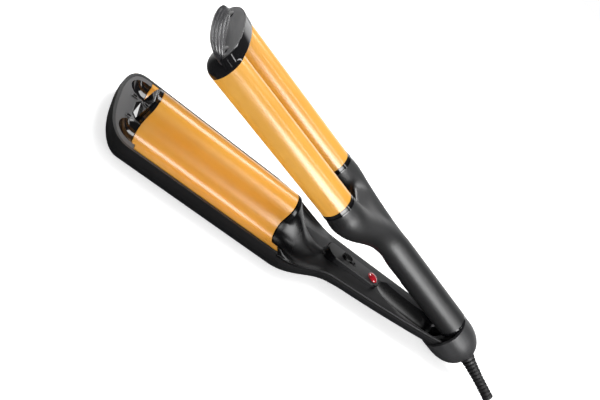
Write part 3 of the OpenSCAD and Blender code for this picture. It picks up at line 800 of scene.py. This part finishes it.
class WaverStudio(bpy.types.PropertyGroup):
    """Sizes and levels of the studio."""

    floor_size: bpy.props.FloatProperty(
        name="Floor size", description="Side of the floor", default=8.0, unit="LENGTH"
    )
    focal: bpy.props.FloatProperty(
        name="Focal length", description="Camera's lens", default=48.27, unit="CAMERA"
    )
    key: bpy.props.FloatProperty(
        name="Key", description="Power of the large softbox", default=8.0, unit="POWER"
    )
    side: bpy.props.FloatProperty(
        name="Side", description="Power of the box beside the cord end", default=4.0, unit="POWER"
    )
    card: bpy.props.FloatProperty(
        name="Card", description="Power of the box seen in polished parts", default=9.0, unit="POWER"
    )
    strip: bpy.props.FloatProperty(
        name="Strip", description="Power of the narrow strip above it", default=1.6, unit="POWER"
    )
    back: bpy.props.FloatProperty(
        name="Back", description="Power of the box behind the tip", default=9.0, unit="POWER"
    )
    surround: bpy.props.FloatProperty(
        name="Surround",
        description="Level of the soft light all round",
        default=0.62,
        subtype="FACTOR",
        min=0,
        soft_max=2,
    )
    gleam: bpy.props.FloatProperty(
        name="Gleam",
        description="Level of the bright horizon behind in reflections",
        default=1.3,
        subtype="FACTOR",
        min=0,
        soft_max=2,
    )


# ---- Operators ----


def paint(nodes, finish):
    """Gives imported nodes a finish."""
    for node in nodes:
        mesh = frame["nodes"][node].data
        mesh.materials.clear()
        mesh.materials.append(finish)


class WAVER_OT_stage(bpy.types.Operator):
    """Makes the floor, the soft lights, the surround and the camera"""

    bl_idname = "waver.stage"
    bl_label = "Studio"

    def execute(self, context):
        studio = context.scene.waver_studio
        self.floor(studio)
        self.lights(studio)
        self.surround(context, studio)
        self.camera(context, studio)
        return {"FINISHED"}

    def floor(self, studio):
        """A pale floor, white to the camera far away and dark in front for polished parts."""
        half = studio.floor_size / 2
        corners = [(-half, -half, 0), (half, -half, 0), (half, half, 0), (-half, half, 0)]
        mesh = mesh_from("floor", corners, [(0, 1, 2, 3)])
        f = Finish("studio_floor")
        path = f.add("ShaderNodeLightPath")
        seen = f.wire(path, "Is Camera Ray")
        mirrored = f.wire(path, "Is Glossy Ray")
        soft = f.noise(0.01, 2)
        x, y = f.axis("X"), f.axis("Y")
        behind = y.between(0, 260)
        far = (x * x + y * y).between(300**2, 600**2)
        pale = f.blend(soft * 0.2, grey(0.86), grey(0.83))
        reflected = f.blend(behind, grey(0.1), grey(0.9))
        f.surface(
            base_color=f.blend(mirrored, pale, reflected),
            roughness=0.9 + soft * 0.05,
            specular_ior_level=0.0,
            emission_color=f.blend(seen * (0.45 + 0.55 * far), grey(0), grey(1)),
            emission_strength=1.4,
        )
        mesh.materials.append(f.material)
        shown("floor", mesh)

    def lamp(self, name, spot, aim, size, power, mirrored_only=False):
        """A soft box at a spot in the row frame, in metres, turned towards another."""
        light = bpy.data.lights.new(name, "AREA")
        light.shape = "RECTANGLE"
        light.size, light.size_y = size
        light.energy = power
        box = shown(name, light)
        box.location = spot
        box.visible_diffuse = not mirrored_only
        box.rotation_mode = "QUATERNION"
        box.rotation_quaternion = (Vector(aim) - Vector(spot)).to_track_quat("-Z", "Y")

    def lights(self, studio):
        centre, tip = (-0.02, 0, 0.05), (-0.166, 0, 0.09)
        self.lamp("softbox", (0.1, 0.25, 0.95), (-0.02, 0, 0.04), (0.45, 0.6), studio.key)
        self.lamp("side", (0.6, -0.78, 0.28), centre, (0.45, 0.5), studio.side)
        self.lamp("card", (0.62, -0.68, 0.3), centre, (0.5, 0.7), studio.card, True)
        self.lamp("back", (-0.376, 0.79, 0.67), tip, (0.4, 0.35), studio.back, True)
        self.lamp("strip", (0.72, -0.32, 0.74), centre, (0.08, 0.7), studio.strip, True)

    def surround(self, context, studio):
        """White to the camera, even for soft light, and a bright horizon behind in reflections."""
        world = bpy.data.worlds.new("surround")
        world.use_nodes = True
        graph = Graph(world.node_tree)
        path = graph.add("ShaderNodeLightPath")
        seen = graph.wire(path, "Is Camera Ray")
        mirrored = graph.wire(path, "Is Glossy Ray")
        sky = graph.add("ShaderNodeTexCoord")
        _, behind, height = graph.split(graph.wire(sky, "Generated"))
        level = studio.surround * (1.0 - 0.3 * height.between(-0.2, 0.8))
        horizon = behind.between(0.1, 0.5) * (1 - height.between(0.24, 0.4))
        gleam = studio.gleam * (0.06 + horizon)
        strength = seen + (1 - seen) * (mirrored * gleam + (1 - mirrored) * level)
        sockets = {"Color": grey(1), "Strength": strength}
        light = graph.add("ShaderNodeBackground", None, sockets)
        graph.add("ShaderNodeOutputWorld", None, {"Surface": graph.wire(light)})
        context.scene.world = world

    def camera(self, context, studio):
        """The camera, placed and turned as the photograph's."""
        data = bpy.data.cameras.new("camera")
        data.lens = studio.focal
        data.sensor_width = SENSOR_WIDTH
        data.clip_start = 0.01
        data.clip_end = 50
        camera = shown("camera", data)
        camera.location = lower(*CAMERA_SPOT)
        right = Vector(CAMERA_RIGHT).normalized()
        forward = Vector(CAMERA_FORWARD)
        forward = (forward - right * forward.dot(right)).normalized()
        up = right.cross(forward)
        camera.rotation_mode = "QUATERNION"
        camera.rotation_quaternion = Matrix((right, up, -forward)).transposed().to_quaternion()
        context.scene.camera = camera
        context.scene.view_settings.view_transform = "Standard"


def shell_ring(level, levels, inset):
    """One level of the lower shell: level 0 is the rim, the rest walk round the long edge."""
    nose_steps, body_steps = 26, 60
    turn = 0 if level == 0 else (level - 1) / (levels - 1) * math.pi / 2
    stations = steps(NOSE_X, RIM_STEP_X - 0.2, 24)[1:] + steps(RIM_STEP_X + 0.2, -20, body_steps)

    def height_inset(x):
        r = edge_r(x) - inset
        if level == 0:
            return rim_z(x), inset
        return under_z(x) + inset + r * (1 - math.sin(turn)), inset + r * (1 - math.cos(turn))

    side = []
    z, pull = height_inset(NOSE_X)
    for i in range(nose_steps + 1):
        a = math.pi / 2 * (1 - i / nose_steps)
        x = NOSE_X - (NOSE_REACH - pull) * math.sin(a) ** NOSE_POWER
        side.append((x, (HEAD_HALF_W - pull) * max(math.cos(a), 0) ** NOSE_POWER, z))
    for x in stations:
        z, pull = height_inset(x)
        side.append((x, half_w(x) - pull, z))
    z, pull = height_inset(tail_x(-8))
    end = tail_x(z)
    side.append((end - inset, half_w(end) - pull, z))
    ring = [(x, y, z) for x, y, z in reversed(side)] + [(x, -y, z) for x, y, z in side[1:]]
    return [lower(*p) for p in ring]


class WAVER_OT_lower_shell(bpy.types.Operator):
    """Moulds the lower arm's back, with its long rounded edge and screw wells"""

    bl_idname = "waver.lower_shell"
    bl_label = "Lower shell"

    def execute(self, context):
        colours = context.scene.waver_colours
        levels = 12
        outer = [shell_ring(k, levels, 0) for k in range(levels, -1, -1)]
        inner = [shell_ring(k, levels, WALL) for k in range(levels + 1)]
        points, faces = loft(outer + inner, closed_ends=False)
        n = len(outer[0])
        last = len(points) - n
        half = (n - 1) // 2
        # The ends are closed in strips from side to side
        for base in (0, last):
            for i in range(half - 1):
                faces.append((base + i, base + i + 1, base + n - 2 - i, base + n - 1 - i))
            faces.append((base + half - 1, base + half, base + half + 1))
        mesh = mesh_from("lower_shell_skin", points, faces)
        ends = (-3, SCREW_WELL_DEPTH)
        well = [(ends[0], TINY), (ends[0], SCREW_WELL_R), (ends[1], SCREW_WELL_R), (ends[1], TINY)]
        wells = [
            turned(well, lambda s, y, z, x=x: lower(x + y, z, under_z(x) + s), 40) for x in SCREW_X
        ]
        tail = [slab((CAP_ROOM_X, -half, low), (0, half, 0), lower) for half, low in CAP_ROOM]
        mesh = cut(mesh, *wells, *tail)
        finish = moulded("shell_plastic", colours.shell, 0.36)
        new_piece("shell_back", mesh, "lower_arm", finish, ["lower_shell"])
        return {"FINISHED"}


def saddle_z(x, y):
    """Level that the closed fork needs in the deck."""
    r = arm_rad(x) + CLEARANCE
    d = abs(y) - arm_y(x)
    reach = r * r - d * d
    if reach <= 0:
        return math.inf
    return max(arm_z(x) - math.sqrt(reach), sole_z(x) - CLEARANCE)


def bed_z(x, y, w):
    """The hollow bed along the lower handle."""
    run = x - BED_X - BED_CURVE * y * y
    depth = BED_DEPTH * clamp(run / BED_RUN) ** 0.75
    return deck_z(x) - depth * max(0, 1 - (abs(y) / (w - 2.4)) ** 4)


def wave_points():
    """The plate's cross-section from the middle outwards, as (y, z)."""
    turns = steps(0, math.pi / 2, 14)
    crest = [(RIDGE_R * math.sin(a), RIDGE_Z + RIDGE_R * math.cos(a)) for a in turns]
    trough = [
        (HALF_PITCH - TROUGH_R * math.cos(b), BARREL_Z - TROUGH_R * math.sin(b))
        for b in steps(math.radians(4), math.radians(147.5), 36)
    ]
    flange = [(y, FLANGE_Z) for y in (33.0, FLANGE_HALF_W)]
    return crest + trough + flange


class WAVER_OT_neck(bpy.types.Operator):
    """Moulds the lower arm's inner face: wave run-out, saddle, flat and hollow bed"""

    bl_idname = "waver.neck"
    bl_label = "Neck and inner face"

    def execute(self, context):
        colours = context.scene.waver_colours
        stations = steps(RIM_STEP_X + 0.4, BED_X - 7, 70) + steps(BED_X - 7, FACE_REAR - 3, 66)[1:]
        rings = [self.ring(x, lambda z, x=x: x) for x in stations]
        rings.append(self.ring(FACE_REAR, tail_x))
        mesh = mesh_from("neck_deck_skin", *loft(rings))
        relaxed(mesh, passes=130, weight=self.looseness, only_down=True)
        relaxed(mesh, passes=12, weight=self.looseness)
        mesh = cut(mesh, slab(*PANEL_ROOM, lower), slab(*LATCH_ROOM, lower))
        finish = self.finish(colours)
        new_piece("neck_face", mesh, "lower_arm", finish, ["neck_deck"])
        return {"FINISHED"}

    def finish(self, colours):
        """Satin plastic, polished beside the plate and in the hollow bed; the paler satin colour is
        partly painted sheen, and the extra-dark black in the hollow bed is painted shade.
        """
        f = Finish("neck_plastic_painted_sheen_and_shade")
        x = f.axis("X") - HINGE.x / MM
        y = f.axis("Y")
        run = x - BED_X - BED_CURVE * y * y
        # Painted shade: the hollow bed gets a black darker than the gloss colour.
        bed = run.between(-0.6, 0.6) * (1 - abs(y).between(10.4, 10.9))
        satin = x.between(-160, -136) * (1 - bed)
        # The paler satin tints stand in for the broad grey sheen across the face: painted sheen.
        tints = solid(colours.neck), solid(colours.neck, 1.4)
        gloss = solid(colours.gloss, 0.5)
        return satin_and_gloss(
            f, satin, tints, gloss, (0.24, 0.44), (0.005, 0.5), specular_ior_level=0.28
        )

    def looseness(self, spot):
        """Only the middle of the face gives way, so the plate's edge and the rim stay."""
        x, y, _ = (Vector(spot) - HINGE) / MM
        side = 1 - ease((abs(y) - half_w(x) + 3) / 2.4)
        return side * ease((x + 167.6) / 4) * (1 - ease((x + 100) / 15))

    def ring(self, x, end):
        """Closed section at x: the face from side to side, then back below it."""
        u = ease((x - PLATE_REAR - 1) / RUN_OUT)
        w = half_w(x)
        scale = (w - 4.6) / FLANGE_HALF_W
        row = []
        for py, pz in wave_points():
            y = py * scale
            nest = saddle_z(x, y)
            row.append((y, min(mix(pz, min(deck_z(x), nest, bed_z(x, y, w)), u), nest)))
        edge = mix(FLANGE_Z, deck_z(x), u)
        row += [(w - inward, edge - down) for inward, down in EDGE_ROUND]
        lip = deck_z(x) - RIM_DROP + LIP
        face = [(-y, z) for y, z in reversed(row[1:])] + row
        under = [(w, lip), (w - 2.3, lip)]
        under += [(y, min(z, edge) - FACE_WALL) for y, z in reversed(row[:-6:3])]
        under += [(-y, min(z, edge) - FACE_WALL) for y, z in row[3:-6:3]]
        under += [(2.3 - w, lip), (-w, lip)]
        return [lower(end(z), y, z) for y, z in face + under]


def arm_ring(x, side, count=48):
    """Round section of a fork arm, flat at its sole."""
    ring = []
    for i in range(count):
        a = math.tau * i / count
        z = max(arm_z(x) + arm_rad(x) * math.sin(a), sole_z(x))
        ring.append(upper(x, side * arm_y(x) + arm_rad(x) * math.cos(a), z))
    return ring


def bridge_ring(x):
    """Section of the web behind the crotch."""
    u = ease((x - WEB_X) / WEB_LENGTH)
    y, z = arm_y(x), arm_z(x)
    top, low = mix(6.4, 0.94 * arm_rad(x), u), mix(5, -2, u)
    sag, deepest = top - 0.9 * u, top - 1.3 * u
    face = [(-y, top), (-y, low), (y, low), (y, top), (y / 2, sag), (0, deepest), (-y / 2, sag)]
    return [upper(x, py, z + pz) for py, pz in face]


def grip_ring(x, count=48):
    """Round section of the upper handle, flat at its sole."""
    ring = []
    for i in range(count):
        a = math.tau * i / count
        z = max(HANDLE_Z + HANDLE_R * math.sin(a), FLAT_Z)
        ring.append(upper(x, HANDLE_R * math.cos(a), z))
    return ring


class WAVER_OT_fork(bpy.types.Operator):
    """Melts the two fork arms, their web and the round handle into one housing"""

    bl_idname = "waver.fork"
    bl_label = "Fork housing"

    def execute(self, context):
        colours = context.scene.waver_colours
        stations = [FORK_FRONT - 3, *steps(FORK_FRONT, MERGE_X - 1, 30)]
        arms = [loft([arm_ring(x, side) for x in stations]) for side in (-1, 1)]
        web = loft([bridge_ring(x) for x in steps(*WEB_ENDS, 16)])
        grip = loft([grip_ring(x) for x in (GRIP_START, HANDLE_END + 3)])
        mesh = melted("fork_skin", arms + [web, grip], voxel=0.75, passes=8)
        relaxed(mesh, passes=90, weight=self.looseness)
        for vertex in mesh.vertices:
            vertex.co = self.rounded(vertex.co)
        mesh = cut(
            mesh,
            slab((FORK_FRONT - 8, -50, -30), (FORK_FRONT, 50, 40), upper),
            slab((HANDLE_END, -50, -30), (HANDLE_END + 8, 50, 40), upper),
            slab(*SWITCH_ROOM, upper),
        )
        finish = moulded("housing_plastic", colours.housing, 0.42, 0.003, 0.1)
        new_piece(
            "fork_housing", mesh, "upper_arm", finish, ["fork_shell", "fork_underside"]
        )
        return {"FINISHED"}

    def rounded(self, spot):
        """The point brought onto the round handle, away from where the arms meet."""
        x, y, z = OPENED.transposed() @ (spot - HINGE) / MM
        height = z - HANDLE_Z
        reach = math.hypot(y, height)
        if x <= HANDLE_FRONT or z <= FLAT_Z + 0.7 or reach < HANDLE_R * 0.8:
            return spot
        scale = mix(1, HANDLE_R / reach, ease((x - HANDLE_FRONT) / 12))
        return upper(x, y * scale, HANDLE_Z + height * scale)

    def looseness(self, spot):
        """How far a point gives way to its neighbours: most where the arms meet."""
        x = (spot[0] - HINGE.x) / MM
        return ease((x - TURN_X) / 14) * (1 - ease((x - HANDLE_FRONT) / 24))


class WAVER_OT_nose_cap(bpy.types.Operator):
    """Shapes the cool tip: two domes, the stepped finger ledge and the leaning hood"""

    bl_idname = "waver.nose_cap"
    bl_label = "Cool tip"

    def execute(self, context):
        colours = context.scene.waver_colours
        self.sizes = context.scene.waver_sizes
        gloss = polished("cap_gloss", colours.gloss, 0.07)
        self.domes(gloss)
        self.hood(gloss)
        # The ledge's colour is paler than the tip's gloss black: painted light that brightens the tread
        # tops.
        self.treads(polished("ledge_gloss_painted_light", colours.ledge, 0.16))
        self.face(moulded("face_satin", colours.hood, 0.42, 0.004, 0.1))
        return {"FINISHED"}

    def domes(self, finish):
        """A rounded end before each barrel."""
        turns = steps(0, math.pi / 2, 12)[1:]
        flat_r, start = BARREL_R - DOME_ROUND, -DOME_BAND
        profile = [(TINY, 0.0), (TINY, BARREL_R), (start, BARREL_R)]
        profile += [
            (start - DOME_ROUND * math.sin(a), flat_r + DOME_ROUND * math.cos(a)) for a in turns
        ]
        profile += [(start - DOME_ROUND, 0.0)]

        def place(side):
            return lambda s, y, z: upper(BARREL_FRONT + s, side * HALF_PITCH + y, BARREL_Z + z)

        domes = [turned(profile, place(side)) for side in (-1, 1)]
        mesh = mesh_from("nose_domes", *joined(*domes))
        merged(mesh)
        new_piece("nose_domes", mesh, "upper_arm", finish, ["nose_cap"])

    def lift(self, y):
        """How far the ledge rises towards its ends."""
        return LEDGE_LIFT * min(1, (y / LEDGE_HALF) ** 2)

    def fade(self, y, half=LEDGE_HALF):
        """Share of the ledge's full depth at y."""
        return (1 - min(1, abs(y) / half) ** 3) ** (1 / 3)

    def tread(self, k, y):
        """Level of tread k; the treads run together at both ends."""
        rise = self.sizes.tread_rise / MM * max(0.06, self.fade(y))
        return LEDGE_TOP + self.lift(y) + rise * k

    def ledge(self):
        """The ledge as one stair of crescents that thin towards the tip and meet at their ends."""
        rows = []
        count, depth = self.sizes.treads, self.sizes.tread_depth / MM
        for a in steps(-math.pi / 2, math.pi / 2, 64):
            y = LEDGE_HALF * math.sin(a)
            section = [(LEDGE_ROOT + 2, self.tread(count - 1, y))]
            for k in reversed(range(count)):
                reach = (LEDGE_ROOT - TIP_X - depth * k) * self.fade(y, LEDGE_HALF - 0.7 * k)
                x = LEDGE_ROOT - reach
                section += [(x, self.tread(k, y)), (x, self.tread(k - 1, y))]
            section.append((LEDGE_ROOT - reach * 0.6, self.tread(-2.2, y)))
            section.append((LEDGE_ROOT + 2, self.tread(-3.4, y)))
            rows.append([upper(x, y, z) for x, z in section])
        return loft(rows)

    def front(self, z):
        """Place of the leaning wall."""
        return LEDGE_ROOT - HOOD_SETBACK + z * HOOD_LEAN

    def hood(self, finish):
        """The arched hood behind the wall, hollowed for the plate's ridge."""
        rings = []
        sines = [math.sin(a) for a in steps(-math.pi / 2, math.pi / 2, 56)]
        for u in steps(0, 1, 10):
            ring = []
            for y in [ARCH_HALF * k for k in sines]:
                z = ARCH_FOOT + arch_z(y)
                x = mix(self.front(z), HOOD_REAR, u)
                fall = max(0, x - LEDGE_ROOT) * HOOD_FALL * arch_z(y) / ARCH_RISE
                ring.append(upper(x, y, z - fall))
            for y in [ARCH_HALF * k for k in reversed(sines)]:
                z = HOOD_FLOOR + HOOD_FLOOR_RISE * (y / ARCH_HALF) ** 2
                ring.append(upper(mix(self.front(z), HOOD_REAR, u), y, z))
            rings.append(ring)
        mesh = mesh_from("finger_hood", *loft(rings))
        r = RIDGE_R + RIDGE_GAP
        turns = steps(-math.pi / 2, math.pi / 2, 32)
        outline = [(r * math.sin(a), RIDGE_Z + r * math.cos(a)) for a in turns] + [(r, -20), (-r, -20)]
        way = loft([[upper(x, y, z) for y, z in outline] for x in RIDGE_WAY])
        mesh = softened(cut(mesh, way), width=0.5, angle=40)
        new_piece("finger_hood", mesh, "upper_arm", finish, ["nose_cap"])

    def treads(self, finish):
        """The ledge's piece, its edges rounded."""
        mesh = softened(mesh_from("finger_ledge", *self.ledge()), width=0.45)
        new_piece("finger_ledge", mesh, "upper_arm", finish, ["nose_cap"])

    def face(self, finish):
        """Satin face of the leaning wall."""
        across = [ARCH_HALF * k for k in steps(-FACE_SHARE, FACE_SHARE, 60)]
        outline = [(y, ARCH_FOOT + arch_z(y) - 0.75) for y in across]
        top = self.sizes.treads - 1
        for y in reversed(across):
            outline.append((y, min(self.tread(top, y), ARCH_FOOT + arch_z(y)) - 1))
        rings = [[upper(self.front(z) + out, y, z) for y, z in outline] for out in (-0.18, 0.8)]
        mesh = softened(mesh_from("finger_face", *loft(rings)), width=0.15, segments=2, angle=60)
        new_piece("finger_face", mesh, "upper_arm", finish, ["nose_cap"])


class WAVER_OT_heated(bpy.types.Operator):
    """Coats the barrels and the wave plate and finishes what heats them"""

    bl_idname = "waver.heated"
    bl_label = "Heated parts"

    def execute(self, context):
        colours = context.scene.waver_colours
        coat = ceramic("gold_coat", colours.gold, colours.gold_deep)
        paint(("barrel_near", "barrel_far", "wave_plate"), coat)
        paint(("barrel_heaters", "plate_heaters"), fired("heater_strip", (0.8, 0.79, 0.74)))
        aluminium = machined("pressed_aluminium", (0.8, 0.8, 0.81), 0.4)
        paint(("heater_springs", "heater_saddles"), aluminium)
        paint(("thermal_cutout",), machined("cutout_case", (0.6, 0.58, 0.54), 0.35))
        return {"FINISHED"}


class WAVER_OT_fittings(bpy.types.Operator):
    """Finishes the nose, the switch, the hinge and the cord end"""

    bl_idname = "waver.fittings"
    bl_label = "Fittings"

    def execute(self, context):
        colours = context.scene.waver_colours
        gloss = polished("black_gloss", colours.gloss)
        paint(("ridge_nose", "barrel_collars", "handle_ring"), gloss)
        paint(("switch_knob",), polished("knob_gloss", (0.002, 0.002, 0.002), 0.12))
        paint(("nose_deck",), two_tone("deck_plastic", colours.deck, colours.gloss, FLANGE_Z - 0.35))
        # The switch platform's gloss black below its grey top is partly real gloss black and partly
        # painted shade: it stands in for the shade and shadow of a taller side wall.
        paint(("switch_panel",), two_tone("panel_plastic_painted_side_shade", colours.panel, colours.gloss, -1.7))
        inner = moulded("inner_plastic", (0.03, 0.03, 0.032), 0.55)
        hidden = ("plate_frame", "switch_body", "hinge_block", "hinge_bracket", "swivel_retainer")
        paint((*hidden, "cord_swivel"), inner)
        paint(("circuit_board",), circuit("board_lacquer", (0.02, 0.12, 0.05)))
        paint(("indicator_lamp",), polished("lamp_body", (0.7, 0.68, 0.66)))
        steel = machined("screw_steel", (0.5, 0.5, 0.52))
        paint(("shell_screws", "fork_screws", "hinge_pin", "pin_clips", "return_spring"), steel)
        paint(("rear_cap",), moulded("cap_plastic", colours.cap, 0.45, 0.006))
        paint(("strain_relief",), rubbery("boot_rubber", colours.boot))
        self.lens(colours, context.scene.waver_sizes)
        return {"FINISHED"}

    def lens(self, colours, sizes):
        """The lamp's window as a fuller dome with a rounded foot."""
        spot = (middle("indicator_lens") - HINGE) / MM
        r, rise = sizes.lens_radius / MM, sizes.lens_rise / MM
        stem_r, stem_end, foot = 2.4, -2.4, -0.7
        profile = [(stem_end, TINY), (stem_end, stem_r), (foot, stem_r), (foot, r - 0.2), (0, r)]
        turns = steps(0, math.pi / 2, 14)[1:-1]
        profile += [(rise * math.sin(a), r * math.cos(a) ** 0.8) for a in turns]
        profile += [(rise, TINY)]
        dome = turned(profile, lambda s, y, z: lower(spot.x + y, spot.y + z, PANEL_TOP + s))
        mesh = mesh_from("lens_dome", *dome)
        merged(mesh)
        finish = lens_with_painted_glow("lens_tint_painted_glow", colours.lens, middle("indicator_lens"), r)
        new_piece("lens_dome", mesh, "lower_arm", finish, ["indicator_lens"])


OPERATORS = (
    WAVER_OT_stage,
    WAVER_OT_lower_shell,
    WAVER_OT_neck,
    WAVER_OT_fork,
    WAVER_OT_nose_cap,
    WAVER_OT_heated,
    WAVER_OT_fittings,
)


class WAVER_PT_sidebar(bpy.types.Panel):
    """Lists the operators and the settings"""

    bl_idname = "WAVER_PT_sidebar"
    bl_label = "Hair Waver"
    bl_space_type = "VIEW_3D"
    bl_region_type = "UI"
    bl_category = "Hair Waver"

    def draw(self, context):
        for operator in OPERATORS:
            self.layout.operator(operator.bl_idname)
        scene = context.scene
        for settings in (scene.waver_colours, scene.waver_sizes, scene.waver_studio):
            for key in settings.__annotations__:
                self.layout.prop(settings, key)


CLASSES = (WaverColours, WaverSizes, WaverStudio, *OPERATORS, WAVER_PT_sidebar)


def register():
    for cls in CLASSES:
        bpy.utils.register_class(cls)
    bpy.types.Scene.waver_colours = bpy.props.PointerProperty(type=WaverColours)
    bpy.types.Scene.waver_sizes = bpy.props.PointerProperty(type=WaverSizes)
    bpy.types.Scene.waver_studio = bpy.props.PointerProperty(type=WaverStudio)


def unregister():
    del bpy.types.Scene.waver_studio
    del bpy.types.Scene.waver_sizes
    del bpy.types.Scene.waver_colours
    for cls in reversed(CLASSES):
        bpy.utils.unregister_class(cls)


def main():
    register()
    for operator in OPERATORS:
        group, name = operator.bl_idname.split(".")
        getattr(getattr(bpy.ops, group), name)()


if __name__ == "__main__":
    main()
